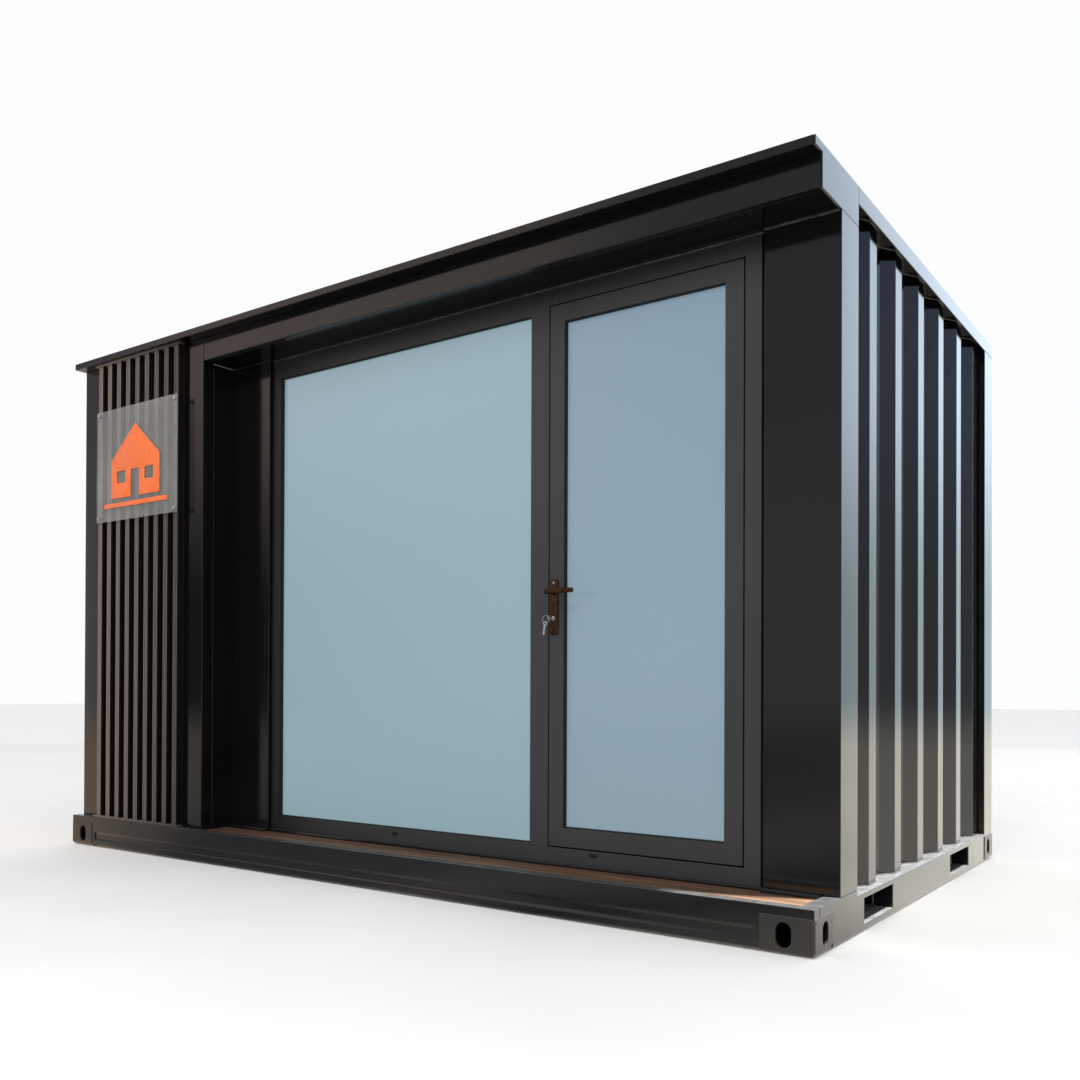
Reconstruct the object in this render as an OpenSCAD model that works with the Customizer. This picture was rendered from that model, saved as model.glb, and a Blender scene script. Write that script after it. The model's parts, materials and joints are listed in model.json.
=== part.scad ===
// Shipping container cabin: a short steel container with a recessed glazed front under a
// canopy, a slatted bay beside it, corrugated ends and back, and a hinged glass door.
// Millimetres, +Z up. The origin is on the ground under the middle of the cabin, the
// glazed front faces -Y, and the door's side is +X.

/* [Cabin] */
// Outside length, along X
cabin_l = 4000; // [3900:10:4200]
// Outside depth, along Y
cabin_d = 2400; // [2300:10:2600]
// Outside height
cabin_h = 2500; // [2480:10:2600]
// Level of the floor and of the porch deck
floor_z = 140; // [136:1:146]

/* [Corner castings] */
// Length of a casting, along X
casting_l = 178; // [170:1:190]
// Width of a casting, along Y
casting_w = 162; // [155:1:170]
// Height of a casting
casting_h = 118; // [110:1:118]
// Thickness of a casting's outer walls
casting_wall = 28; // [20:1:32]
// How far the castings stand out past the rails and posts
casting_proud = 3; // [2:0.5:6]
// Width of the upright slots in a casting's faces
casting_slot_w = 51; // [40:1:60]
// Height of those slots
casting_slot_h = 79; // [60:1:84]
// Width of the twistlock slot underneath
twist_w = 63.5; // [56:0.5:66]
// Length of the twistlock slot
twist_l = 124; // [110:1:126]
// Distance of the twistlock slot's centre from the casting's end
twist_x = 101.5; // [96:0.5:104]
// Distance of the twistlock slot's centre from the casting's long side
twist_y = 89; // [80:1:90]

/* [Base frame] */
// Height of the top of the front bottom rail
rail_top = 150; // [148:1:160]
// Height of the top of the other bottom rails, where the corrugated walls stand
sill_top = 130; // [126:1:134]
// Width of the front rail's top flange
front_rail_w = 50; // [40:1:55]
// Width of the other bottom rails
sill_w = 76; // [76:1:90]
// Width of a fork pocket
fork_w = 320; // [280:5:360]
// Distance of a fork pocket's centre line from the middle of the end
fork_y = 567; // [540:1:600]
// Bottom of a fork pocket
fork_z0 = 25; // [22:1:30]
// Top of a fork pocket
fork_z1 = 110; // [100:1:112]

/* [Walls] */
// Width of the front left and rear posts
post_w = 160; // [160:1:180]
// Distance from the rail's face to the slatted bay and the fascia
bay_y = 60; // [56:1:70]
// Distance from the rail's face to the flat panels beside the glazing
panel_y = 235; // [225:1:260]
// Distance from the rail's face to the window and door frame
glazing_y = 255; // [245:1:280]
// Depth of the corrugation
rib_d = 40; // [30:1:40]
// Width of a rib's outer flat
rib_flat = 78; // [70:1:100]
// Width of a rib's sloping side
rib_web = 68; // [50:1:70]
// Distance from one rib to the next
rib_pitch = 304; // [280:1:320]
// Thickness of the corrugated sheet
sheet_t = 4; // [2:1:6]
// Distance from a wall's outer face to the ribs
rib_set = 32; // [28:1:36]

/* [Canopy and roof] */
// Height of the roof's edge
lip_h = 30; // [25:1:40]
// Height of the underside of the canopy
soffit_z = 2360; // [2340:5:2380]
// Height of the lower edge of the top rails' outer skirt
top_rail_z = 2438; // [2420:1:2445]

/* [Slat cladding] */
// Number of slats
slat_n = 9; // [7:1:9]
// Width of a slat's face
slat_w = 32; // [28:1:44]
// Distance from one slat to the next
slat_pitch = 78.3; // [70:0.1:79]
// Depth of the cladding
slat_d = 34; // [24:1:36]

/* [Window and door] */
// Width of the door leaf, as seen from outside
leaf_w = 802; // [780:1:802]
// Height of the door leaf, as seen from outside
leaf_h = 2074; // [2000:1:2074]
// Gap all round the leaf
leaf_gap = 6; // [6:0.5:8]
// Thickness of the glass units
glass_t = 24; // [18:1:32]
// Distance from the frame's face back to the glass
glass_set = 22; // [16:1:28]
// Distance from the lever's axis to its tip
lever_l = 122; // [100:1:125]

/* [Hidden] */
$fn = 48;

steel = [0.19, 0.19, 0.20];
joinery = [0.24, 0.24, 0.25];

// Outer planes, named for the compass of the cabin.
x_right = cabin_l / 2;
x_left = -x_right;
y_back = cabin_d / 2;
y_front = -y_back;
roof_z = cabin_h - lip_h;

// Outer faces of the steelwork between the castings.
x_side = x_right - casting_proud;
y_rear = y_back - casting_proud;
y_rail = y_front + casting_proud;

// Inner face of the 5 mm plate that closes the canopy's right end.
x_plate = x_side - 5;

// Top rails: a flange under the roof's edge, with a skirt that hides the sheets' tops.
top_rail_w = 60;
top_rail_skirt = 8;
sheet_top = roof_z - 5;

// Planes of the front, one behind the other.
y_bay = y_front + bay_y;
y_panel = y_front + panel_y;
y_frame = y_front + glazing_y;
y_deck = y_front + front_rail_w;

// The room's inner faces are flush with the posts.
x_room = x_right - post_w;
y_room = y_back - casting_w;
x_sill = x_right - sill_w;
y_sill = y_back - sill_w;

// Front right post: one broad box that also makes the flat panel beside the door.
right_post_x = x_right - 268;
right_post_y1 = y_panel + 167;

// Slatted bay at the left.
bay_x = -1014;
bay_wall_t = 60;
panel_x1 = -748;
panel_t = 80;
left_post_y1 = y_bay + post_w;

// Window and door frame.
frame_d = 70;
y_inside = y_frame + frame_d;
frame_x0 = panel_x1;
frame_x1 = 1716;
window_x0 = -694;
window_x1 = 757;
window_z0 = 216;
window_z1 = 2271;
leaf_x1 = 1650;
leaf_x0 = leaf_x1 - leaf_w;
leaf_z0 = 214;
leaf_z1 = leaf_z0 + leaf_h;

// Door leaf: its body fills the frame, and its flange laps over the frame inside the room.
flange_y0 = y_inside + 5;
flange_y1 = flange_y0 + 12;
stile_w = 65;
hinge_stile_w = 68;
bottom_bar_h = 72;
top_bar_h = 66;
hinge_x = leaf_x1 + 28;
hinge_y = flange_y1 + 8;
hinge_zs = [450, 1250, 2050];
knuckle_r = 9;
pin_r = 5;
running = 0.1;

// Handle.
handle_x = leaf_x0 + 25;
lever_z = 1185;
lock_z = 1085;
neck_r = 10;
plate_t = 10;

// Roof of the base: undersides and the tunnel plates.
rail_z0 = 10;
sill_z0 = 5;
fork_plate = 5;

module block(x0, x1, y0, y1, z0, z1) {
    translate([x0, y0, z0]) cube([x1 - x0, y1 - y0, z1 - z0]);
}

// Upright slot with round ends, cut along Y from y = 0 for the given length.
module slot_along_y(w, h, length) {
    for (z = [-(h - w) / 2, (h - w) / 2])
        translate([0, 0, z]) rotate([-90, 0, 0]) cylinder(d = w, h = length);
    translate([-w / 2, 0, -(h - w) / 2]) cube([w, length, h - w]);
}

// Slot with round ends, long along X, cut upwards from z = 0.
module slot_up(w, l, height) {
    for (x = [-(l - w) / 2, (l - w) / 2]) translate([x, 0, 0]) cylinder(d = w, h = height);
    translate([-(l - w) / 2, -w / 2, 0]) cube([l - w, w, height]);
}

// Square with one corner rounded, the corner at the origin.
module one_round_corner(w, h, r) {
    union() {
        translate([r, r]) circle(r);
        translate([r, 0]) square([w - r, h]);
        translate([0, r]) square([w, h - r]);
    }
}

// A casting in its own frame: outer corner at the origin, body towards +X, +Y and +Z.
module casting() {
    corner_r = 26;
    edge_r = 12;
    inner_wall = 12;
    slot_z = 62.5;
    slot_x = 100;
    slot_y = 93;
    color(steel) difference() {
        intersection() {
            linear_extrude(casting_h) one_round_corner(casting_l, casting_w, edge_r);
            translate([0, casting_w, 0]) rotate([90, 0, 0])
                linear_extrude(casting_w) one_round_corner(casting_l, casting_h, corner_r);
            rotate([90, 0, 90])
                linear_extrude(casting_l) one_round_corner(casting_w, casting_h, corner_r);
        }
        block(casting_wall, casting_l - inner_wall, casting_wall, casting_w - inner_wall,
              casting_wall, casting_h - 14);
        translate([slot_x, -1, slot_z])
            slot_along_y(casting_slot_w, casting_slot_h, casting_wall + 2);
        translate([-1, slot_y, slot_z]) rotate([0, 0, -90])
            slot_along_y(casting_slot_w, casting_slot_h, casting_wall + 2);
        translate([twist_x, twist_y, -1]) slot_up(twist_w, twist_l, casting_wall + 2);
    }
}

module casting_front_left() { translate([x_left, y_front, 0]) casting(); }
module casting_front_right() { translate([x_right, y_front, 0]) mirror([1, 0, 0]) casting(); }
module casting_rear_left() { translate([x_left, y_back, 0]) mirror([0, 1, 0]) casting(); }
module casting_rear_right() {
    translate([x_right, y_back, 0]) mirror([1, 0, 0]) mirror([0, 1, 0]) casting();
}

// Front rail: its top runs over the castings, and a swage is rolled into its face.
module front_bottom_rail() {
    swage_z0 = 33;
    swage_z1 = 77;
    swage_d = 6;
    swage_end = casting_l + 22;
    color(steel) difference() {
        union() {
            block(-x_side, x_side, y_rail, y_deck, casting_h, rail_top);
            block(x_left + casting_l, x_right - casting_l, y_rail, y_deck, rail_z0, casting_h);
        }
        translate([x_left + swage_end, y_rail, 0]) rotate([90, 0, 90])
            linear_extrude(cabin_l - 2 * swage_end)
                polygon([[-1, swage_z0], [0, swage_z0], [swage_d, swage_z0 + 9],
                         [swage_d, swage_z1 - 9], [0, swage_z1], [-1, swage_z1]]);
    }
}

module rear_bottom_rail() {
    color(steel) union() {
        block(x_left + casting_l, x_right - casting_l, y_sill, y_rear, sill_z0, sill_top);
        block(-x_room, x_room, y_sill, y_rear, casting_h, sill_top);
    }
}

// End rail at +X with both fork pockets cut through it. Its front part is taller, up to
// the back of the post that stands on it.
module end_bottom_rail(post_y1) {
    color(steel) difference() {
        union() {
            block(x_sill, x_side, y_front + casting_w, y_back - casting_w, sill_z0, sill_top);
            block(x_right - top_rail_w, x_side, y_deck, post_y1, casting_h, rail_top);
        }
        for (y = [-fork_y, fork_y])
            block(x_sill - 1, x_right + 1, y - fork_w / 2, y + fork_w / 2, fork_z0, fork_z1);
    }
}

module right_bottom_rail() { end_bottom_rail(right_post_y1); }
module left_bottom_rail() { mirror([1, 0, 0]) end_bottom_rail(left_post_y1); }

// Two steel tunnels for the forks, from one end rail to the other.
module fork_tunnels() {
    color(steel) for (y = [-fork_y, fork_y]) difference() {
        block(-x_sill, x_sill, y - fork_w / 2 - fork_plate, y + fork_w / 2 + fork_plate,
              fork_z0 - fork_plate, casting_h);
        block(-x_sill - 1, x_sill + 1, y - fork_w / 2, y + fork_w / 2, fork_z0, fork_z1);
    }
}

// Floor bearers across the base, cut off at the tunnels.
module cross_members() {
    bearer_w = 60;
    bearer_h = 80;
    tunnel = fork_w / 2 + fork_plate;
    spans = [[y_deck, -fork_y - tunnel], [-fork_y + tunnel, fork_y - tunnel],
             [fork_y + tunnel, y_sill]];
    color(steel) for (x = [-1600 : 400 : 1600]) for (s = spans)
        block(x - bearer_w / 2, x + bearer_w / 2, s[0], s[1], casting_h - bearer_h, casting_h);
}

module floor_panel() {
    color("tan") union() {
        block(-x_sill, x_sill, y_inside - 10, y_room, casting_h, floor_z);
        block(-x_room, x_room, y_room, y_sill, casting_h, floor_z);
        block(-x_sill, bay_x, y_deck, y_inside - 10, casting_h, floor_z);
    }
}

// The deck's right edge laps over the end rail.
module porch_deck() {
    y_lap = y_front + casting_w;
    color("peru") union() {
        block(bay_x, x_sill, y_deck, y_inside - 10, casting_h, floor_z);
        block(x_sill, x_right - top_rail_w, y_deck, y_lap, casting_h, floor_z);
        block(x_sill, x_right - top_rail_w, y_lap, y_inside - 10, sill_top, floor_z);
    }
}

module front_left_post() {
    post_in = 8;
    color(steel) union() {
        block(x_left + post_in, -x_room, y_bay, left_post_y1, rail_top, roof_z);
        block(x_left + top_rail_w, -x_room, y_bay, left_post_y1, floor_z, rail_top);
    }
}

module front_right_post() {
    color(steel) union() {
        block(right_post_x, x_side, y_panel, right_post_y1, rail_top, soffit_z);
        block(right_post_x, x_right - top_rail_w, y_panel, right_post_y1, floor_z, rail_top);
    }
}

module rear_posts() {
    color(steel) for (side = [0, 1]) mirror([side, 0, 0]) union() {
        block(x_room, x_side, y_room, y_rear, casting_h, top_rail_z);
        block(x_room, x_right - top_rail_w, y_room, y_back - top_rail_w, top_rail_z, roof_z);
    }
}

// Corrugated sheet along +X from x = 0, its ribs towards -Y and its back at y = 0. The
// first rib's sloping side begins at x = lead, and the sheet ends at x = length.
function rib_points(lead, count) = [
    for (i = [0 : count - 1]) for (p = [[0, 0], [rib_web, 1], [rib_web + rib_flat, 1],
                                        [2 * rib_web + rib_flat, 0]])
        [lead + i * rib_pitch + p[0], -sheet_t - p[1] * rib_d]
];

module corrugated_sheet(length, lead, count) {
    outer = concat([[0, -sheet_t]], rib_points(lead, count), [[count * rib_pitch + lead, -sheet_t]]);
    inner = [for (i = [len(outer) - 1 : -1 : 0]) outer[i] + [0, sheet_t]];
    color(steel) linear_extrude(sheet_top - sill_top) intersection() {
        polygon(concat(outer, inner));
        translate([0, -rib_d - sheet_t]) square([length, rib_d + sheet_t]);
    }
}

module right_corrugated_wall() {
    translate([x_right - rib_set - rib_d - sheet_t, right_post_y1, sill_top]) rotate([0, 0, 90])
        corrugated_sheet(y_room - right_post_y1, 138, 6);
}

module left_corrugated_wall() {
    mirror([1, 0, 0])
        translate([x_right - rib_set - rib_d - sheet_t, left_post_y1, sill_top])
            rotate([0, 0, 90]) corrugated_sheet(y_room - left_post_y1, 16, 7);
}

module rear_corrugated_wall() {
    translate([x_room, y_back - rib_set - rib_d - sheet_t, sill_top]) rotate([0, 0, 180])
        corrugated_sheet(2 * x_room, 61, 12);
}

module left_wall_lining() {
    color("gainsboro") block(-x_sill, -x_room, left_post_y1, y_room, floor_z, roof_z);
}

module right_wall_lining() {
    color("gainsboro") block(x_room, x_sill, right_post_y1, y_room, floor_z, roof_z);
}

module rear_wall_lining() {
    color("gainsboro") block(-x_room, x_room, y_room, y_sill, floor_z, roof_z);
}

// End rail at +X, closed down to the skirt's edge over the rear post.
module end_top_rail(post_y1) {
    x_rail = x_right - top_rail_w;
    union() {
        block(x_rail, x_side, post_y1, y_rear, sheet_top, cabin_h);
        block(x_sill, x_rail, post_y1, y_room, sheet_top, roof_z);
        block(x_side - top_rail_skirt, x_side, post_y1, y_rear, top_rail_z, sheet_top);
        block(x_rail, x_side, y_room, y_rear, top_rail_z, sheet_top);
    }
}

module end_top_rails() {
    color(steel) union() {
        end_top_rail(right_post_y1);
        mirror([1, 0, 0]) end_top_rail(left_post_y1);
    }
}

module rear_top_rail() {
    x_rail = x_right - top_rail_w;
    y_flange = y_back - top_rail_w;
    color(steel) union() {
        block(-x_rail, x_rail, y_flange, y_rear, sheet_top, cabin_h);
        block(-x_room, x_room, y_sill, y_flange, sheet_top, roof_z);
        block(-x_rail, x_rail, y_rear - top_rail_skirt, y_rear, top_rail_z, sheet_top);
        for (side = [0, 1]) mirror([side, 0, 0])
            block(x_room, x_rail, y_flange, y_rear, top_rail_z, sheet_top);
    }
}

module header_beam() {
    color(steel) block(bay_x, x_plate, y_panel, right_post_y1, soffit_z, roof_z);
}

// Flat roof whose front edge overhangs as a lip, with shallow swages pressed across it.
module roof_panel() {
    x_rail = x_right - top_rail_w;
    swage_d = 10;
    swage_w = 110;
    color(steel) difference() {
        union() {
            block(-x_rail, x_rail, y_front, y_back - top_rail_w, roof_z, cabin_h);
            block(x_rail, x_plate, y_front, right_post_y1, roof_z, cabin_h);
            block(-x_side, -x_rail, y_front, left_post_y1, roof_z, cabin_h);
        }
        for (x = [-1650 : 330 : 1650])
            block(x - swage_w / 2, x + swage_w / 2, y_front + 180, y_back - 180,
                  cabin_h - swage_d, cabin_h + 1);
    }
}

module ceiling_panel() {
    ceiling_t = 30;
    color("white") union() {
        block(-x_room, x_room, right_post_y1, y_room, soffit_z, soffit_z + ceiling_t);
        block(-x_room, bay_x, y_bay + bay_wall_t, right_post_y1, soffit_z, soffit_z + ceiling_t);
    }
}

module fascia_beam() {
    color(steel) block(bay_x, x_plate, y_bay, y_bay + 20, soffit_z, roof_z);
}

module soffit_panel() {
    color(steel) block(bay_x, x_plate, y_bay + 20, y_panel, soffit_z, soffit_z + 12);
}

// Plate that closes the right end of the canopy, cut to the canopy's profile.
module canopy_end_plate() {
    color(steel) translate([x_plate, 0, 0]) rotate([90, 0, 90]) linear_extrude(x_side - x_plate)
        polygon([[y_front, cabin_h], [y_front, roof_z], [y_bay, roof_z], [y_bay, soffit_z],
                 [right_post_y1, soffit_z], [right_post_y1, cabin_h]]);
}

module bay_front_wall() {
    color(steel) block(-x_room, bay_x, y_bay, y_bay + bay_wall_t, floor_z, roof_z);
}

module bay_return_wall() {
    color(steel) block(bay_x - bay_wall_t, bay_x, y_bay + bay_wall_t, y_panel + panel_t,
                       floor_z, soffit_z);
}

// Cladding on the bay: upright slats on a thin back, held in a trim at the top and bottom.
module bay_slats() {
    slats_x1 = -1160;
    back_t = 6;
    trim_h = 8;
    slats_x0 = slats_x1 - (slat_n - 1) * slat_pitch - slat_w;
    color([0.45, 0.40, 0.36]) union() {
        block(slats_x0 - 30, slats_x1 + 10, y_bay - back_t, y_bay, rail_top, roof_z);
        for (i = [0 : slat_n - 1])
            block(slats_x0 + i * slat_pitch, slats_x0 + i * slat_pitch + slat_w,
                  y_bay - slat_d, y_bay - back_t, rail_top, roof_z);
        for (z = [rail_top, roof_z - trim_h])
            block(slats_x0 - 30, slats_x1 + 13, y_bay - slat_d - 4, y_bay, z, z + trim_h);
    }
}

module left_flat_panel() {
    color(steel) block(bay_x, panel_x1, y_panel, y_panel + panel_t, floor_z, soffit_z);
}

// Clear plate in front of the slats on four stand-offs.
module sign_plate() {
    sign_x0 = -1807;
    sign_x1 = -1143;
    sign_z0 = 1653;
    sign_z1 = 2218;
    sign_t = 5;
    inset = 20;
    standoff_r = 8;
    y_slats = y_bay - slat_d;
    y_sign = y_front + 8;
    color([0.8, 0.85, 0.85]) union() {
        block(sign_x0, sign_x1, y_sign, y_sign + sign_t, sign_z0, sign_z1);
        for (x = [sign_x0 + inset, sign_x1 - inset]) for (z = [sign_z0 + inset, sign_z1 - inset])
            translate([x, y_slats, z]) rotate([90, 0, 0])
                cylinder(r = standoff_r, h = y_slats - y_sign - sign_t);
    }
}

module frame_left_jamb() {
    color(joinery) block(frame_x0, window_x0, y_frame, y_inside, floor_z, soffit_z);
}

module frame_head() {
    head_z = leaf_z1 + leaf_gap;
    color(joinery) union() {
        block(window_x0, window_x1, y_frame, y_inside, window_z1, soffit_z);
        block(window_x1, leaf_x1 + leaf_gap, y_frame, y_inside, head_z, soffit_z);
    }
}

module frame_sill() {
    color(joinery) union() {
        block(window_x0, window_x1, y_frame, y_inside, floor_z, window_z0);
        block(window_x1, leaf_x1 + leaf_gap, y_frame, y_inside, floor_z, leaf_z0 - leaf_gap);
    }
}

// The mullion steps back behind its front lip, so the leaf's edge can swing past it.
module frame_mullion() {
    lip_d = 10;
    step = 10;
    edge = leaf_x0 - leaf_gap;
    color(joinery) union() {
        block(window_x1, edge, y_frame, y_frame + lip_d, leaf_z0 - leaf_gap, leaf_z1 + leaf_gap);
        block(window_x1, edge - step, y_frame + lip_d, y_inside,
              leaf_z0 - leaf_gap, leaf_z1 + leaf_gap);
    }
}

// Knuckle of a hinge, centred on z.
module knuckle(z, h) {
    translate([hinge_x, hinge_y, z - h / 2]) cylinder(r = knuckle_r, h = h);
}

// The jamb carries the pins and the outer knuckles of the hinges, and a fin behind the
// open joint beside the post.
module frame_right_jamb() {
    color(joinery) union() {
        block(leaf_x1 + leaf_gap, frame_x1, y_frame, y_inside, floor_z, soffit_z);
        block(frame_x1, right_post_x, y_frame + 40, y_inside, floor_z, soffit_z);
        for (z = hinge_zs) {
            for (side = [-1, 1]) {
                knuckle(z + side * 36, 30);
                block(hinge_x, hinge_x + knuckle_r, y_inside, hinge_y,
                      z + side * 36 - 15, z + side * 36 + 15);
                block(hinge_x, frame_x1 - 4, y_inside, y_inside + 5,
                      z + side * 36 - 15, z + side * 36 + 15);
            }
            translate([hinge_x, hinge_y, z - 51]) cylinder(r = pin_r, h = 102);
        }
    }
}

module window_glass() {
    color([0.6, 0.7, 0.75, 0.6])
        block(window_x0, window_x1, y_frame + glass_set, y_frame + glass_set + glass_t,
              window_z0, window_z1);
}

// Glass opening of the leaf, shared by the leaf and its glass.
module leaf_glazing(y0, y1) {
    block(leaf_x0 + stile_w, leaf_x1 - hinge_stile_w, y0, y1,
          leaf_z0 + bottom_bar_h, leaf_z1 - top_bar_h);
}

module door_leaf() {
    lap_free = 33;
    lap_hinge = 18;
    lap_z = 18;
    color(joinery) difference() {
        union() {
            block(leaf_x0, leaf_x1, y_frame, flange_y0, leaf_z0, leaf_z1);
            block(leaf_x0 - lap_free, leaf_x1 + lap_hinge, flange_y0, flange_y1,
                  leaf_z0 - lap_z, leaf_z1 + lap_z);
            for (z = hinge_zs) {
                knuckle(z, 40);
                block(hinge_x - 50, hinge_x, flange_y1, hinge_y - 2, z - 20, z + 20);
            }
        }
        leaf_glazing(y_frame - 1, hinge_y);
        for (z = hinge_zs)
            translate([hinge_x, hinge_y, z - 21]) cylinder(r = pin_r + running, h = 42);
        translate([handle_x, y_frame - 1, lever_z]) rotate([-90, 0, 0])
            cylinder(r = 6, h = flange_y1 - y_frame + 2);
        translate([handle_x, y_frame - 1, lock_z]) rotate([-90, 0, 0])
            cylinder(r = 9, h = flange_y1 - y_frame + 2);
    }
}

module door_glass() {
    color([0.6, 0.7, 0.75, 0.6])
        leaf_glazing(y_frame + glass_set, y_frame + glass_set + glass_t);
}

// Long narrow plates behind the levers, one on each face of the leaf.
module door_escutcheons() {
    plate_w = 33;
    plate_h = 212;
    plate_z = 1129;
    color("saddlebrown") for (y = [y_frame - plate_t, flange_y1]) difference() {
        block(handle_x - plate_w / 2, handle_x + plate_w / 2, y, y + plate_t,
              plate_z - plate_h / 2, plate_z + plate_h / 2);
        translate([handle_x, y - 1, lever_z]) rotate([-90, 0, 0])
            cylinder(r = neck_r + running, h = plate_t + 2);
        translate([handle_x, y - 1, lock_z]) rotate([-90, 0, 0])
            cylinder(r = 9, h = plate_t + 2);
    }
}

// Lock cylinder through the leaf, with a key in it, a ring hanging from the key's bow and
// a second key hanging from the ring.
module door_lock_and_keys() {
    y_out = y_frame - plate_t - 3;
    key_t = 2.4;
    bow_r = 12;
    ring_r = 12;
    wire_r = 1.2;
    ring_turn = 30;
    y_ring = y_out - 30;
    z_ring = lock_z - 8;
    z_bow2 = z_ring - ring_r - 8;
    color("silver") union() {
        translate([handle_x, y_out, lock_z]) rotate([-90, 0, 0])
            cylinder(r = 8.5, h = flange_y1 + plate_t + 3 - y_out);
        block(handle_x - key_t / 2, handle_x + key_t / 2, y_out - 16, y_out,
              lock_z - 4, lock_z + 4);
        translate([handle_x - key_t / 2, y_out - 24, lock_z]) rotate([0, 90, 0])
            cylinder(r = bow_r, h = key_t);
        translate([handle_x, y_ring, z_ring]) rotate([90, 0, ring_turn])
            rotate_extrude() translate([ring_r, 0]) circle(wire_r);
        translate([handle_x, y_ring, z_bow2]) rotate([90, 0, ring_turn]) union() {
            translate([0, 0, -key_t / 2]) cylinder(r = bow_r - 1, h = key_t);
            translate([-4, -40, -key_t / 2]) cube([8, 32, key_t]);
        }
    }
}

// Both levers and the spindle between them.
module lever_handle() {
    arm_h = 20;
    arm_t = 14;
    reach = 52;
    y_arm_out = y_frame - reach;
    y_arm_in = flange_y1 + reach;
    color("saddlebrown") union() {
        translate([handle_x, y_arm_out, lever_z]) rotate([-90, 0, 0])
            cylinder(r = 4, h = y_arm_in - y_arm_out);
        for (y = [y_arm_out, flange_y1 + 1])
            translate([handle_x, y, lever_z]) rotate([-90, 0, 0])
                cylinder(r = neck_r, h = reach - 1);
        for (y = [y_arm_out - arm_t, y_arm_in]) union() {
            block(handle_x, handle_x + lever_l - arm_h / 2, y, y + arm_t,
                  lever_z - arm_h / 2, lever_z + arm_h / 2);
            for (x = [0, lever_l - arm_h / 2])
                translate([handle_x + x, y, lever_z]) rotate([-90, 0, 0])
                    cylinder(r = arm_h / 2, h = arm_t);
        }
    }
}

casting_front_left();
casting_front_right();
casting_rear_left();
casting_rear_right();
front_bottom_rail();
rear_bottom_rail();
left_bottom_rail();
right_bottom_rail();
fork_tunnels();
cross_members();
floor_panel();
porch_deck();
front_left_post();
front_right_post();
rear_posts();
left_corrugated_wall();
right_corrugated_wall();
rear_corrugated_wall();
left_wall_lining();
right_wall_lining();
rear_wall_lining();
end_top_rails();
rear_top_rail();
header_beam();
roof_panel();
ceiling_panel();
fascia_beam();
soffit_panel();
canopy_end_plate();
bay_front_wall();
bay_return_wall();
bay_slats();
left_flat_panel();
sign_plate();
frame_left_jamb();
frame_head();
frame_sill();
frame_mullion();
frame_right_jamb();
window_glass();
door_leaf();
door_glass();
door_escutcheons();
door_lock_and_keys();
lever_handle();
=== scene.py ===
import json
import math

import bpy
from mathutils import Euler, Matrix, Vector

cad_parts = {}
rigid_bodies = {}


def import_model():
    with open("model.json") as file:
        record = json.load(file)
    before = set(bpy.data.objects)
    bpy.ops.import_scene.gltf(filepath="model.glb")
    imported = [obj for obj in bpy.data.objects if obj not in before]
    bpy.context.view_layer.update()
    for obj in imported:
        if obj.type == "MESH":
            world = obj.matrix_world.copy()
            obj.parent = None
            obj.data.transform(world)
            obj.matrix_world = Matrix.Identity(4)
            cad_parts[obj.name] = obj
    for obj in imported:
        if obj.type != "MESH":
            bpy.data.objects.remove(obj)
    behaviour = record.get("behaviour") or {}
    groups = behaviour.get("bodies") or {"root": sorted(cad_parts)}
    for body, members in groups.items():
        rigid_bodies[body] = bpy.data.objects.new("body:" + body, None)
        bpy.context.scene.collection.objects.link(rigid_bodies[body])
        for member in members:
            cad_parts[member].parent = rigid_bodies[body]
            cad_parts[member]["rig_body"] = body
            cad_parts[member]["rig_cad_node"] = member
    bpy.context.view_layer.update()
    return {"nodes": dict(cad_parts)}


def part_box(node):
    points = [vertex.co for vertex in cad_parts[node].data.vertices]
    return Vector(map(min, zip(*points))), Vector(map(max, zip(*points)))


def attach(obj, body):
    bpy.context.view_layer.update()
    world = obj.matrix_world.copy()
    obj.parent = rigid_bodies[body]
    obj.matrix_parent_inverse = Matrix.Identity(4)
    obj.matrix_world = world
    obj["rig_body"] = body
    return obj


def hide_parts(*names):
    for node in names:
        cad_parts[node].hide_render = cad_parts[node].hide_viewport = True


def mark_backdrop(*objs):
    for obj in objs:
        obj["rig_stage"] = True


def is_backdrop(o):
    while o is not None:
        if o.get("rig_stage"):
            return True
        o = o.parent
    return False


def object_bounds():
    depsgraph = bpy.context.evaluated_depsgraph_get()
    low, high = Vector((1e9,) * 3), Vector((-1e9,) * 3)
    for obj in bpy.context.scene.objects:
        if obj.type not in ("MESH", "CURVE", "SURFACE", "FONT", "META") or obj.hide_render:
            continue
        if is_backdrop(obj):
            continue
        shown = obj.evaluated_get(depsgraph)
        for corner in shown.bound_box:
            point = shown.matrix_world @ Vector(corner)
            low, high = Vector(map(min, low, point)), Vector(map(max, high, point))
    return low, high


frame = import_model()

nodes = frame["nodes"]

# ---------------------------------------------------------------------------------------
# Camera: eye height of a person crouching off the cabin's front right corner, with a
# raised lens so that the uprights stay almost parallel.
camera_data = bpy.data.cameras.new("camera")
camera = bpy.data.objects.new("camera", camera_data)
bpy.context.scene.collection.objects.link(camera)
bpy.context.scene.camera = camera
camera_data.lens = 34.857
camera_data.sensor_width = 36.0
camera_data.shift_y = 0.132
camera_data.clip_end = 200.0
camera.location = (3.1394, -4.2549, 0.8152)
yaw, pitch, roll = math.radians(35.204), math.radians(0.341), math.radians(0.216)
aim = Euler((math.pi / 2 + pitch, 0.0, yaw)).to_matrix() @ Matrix.Rotation(roll, 3, "Z")
camera.rotation_euler = aim.to_euler()

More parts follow.
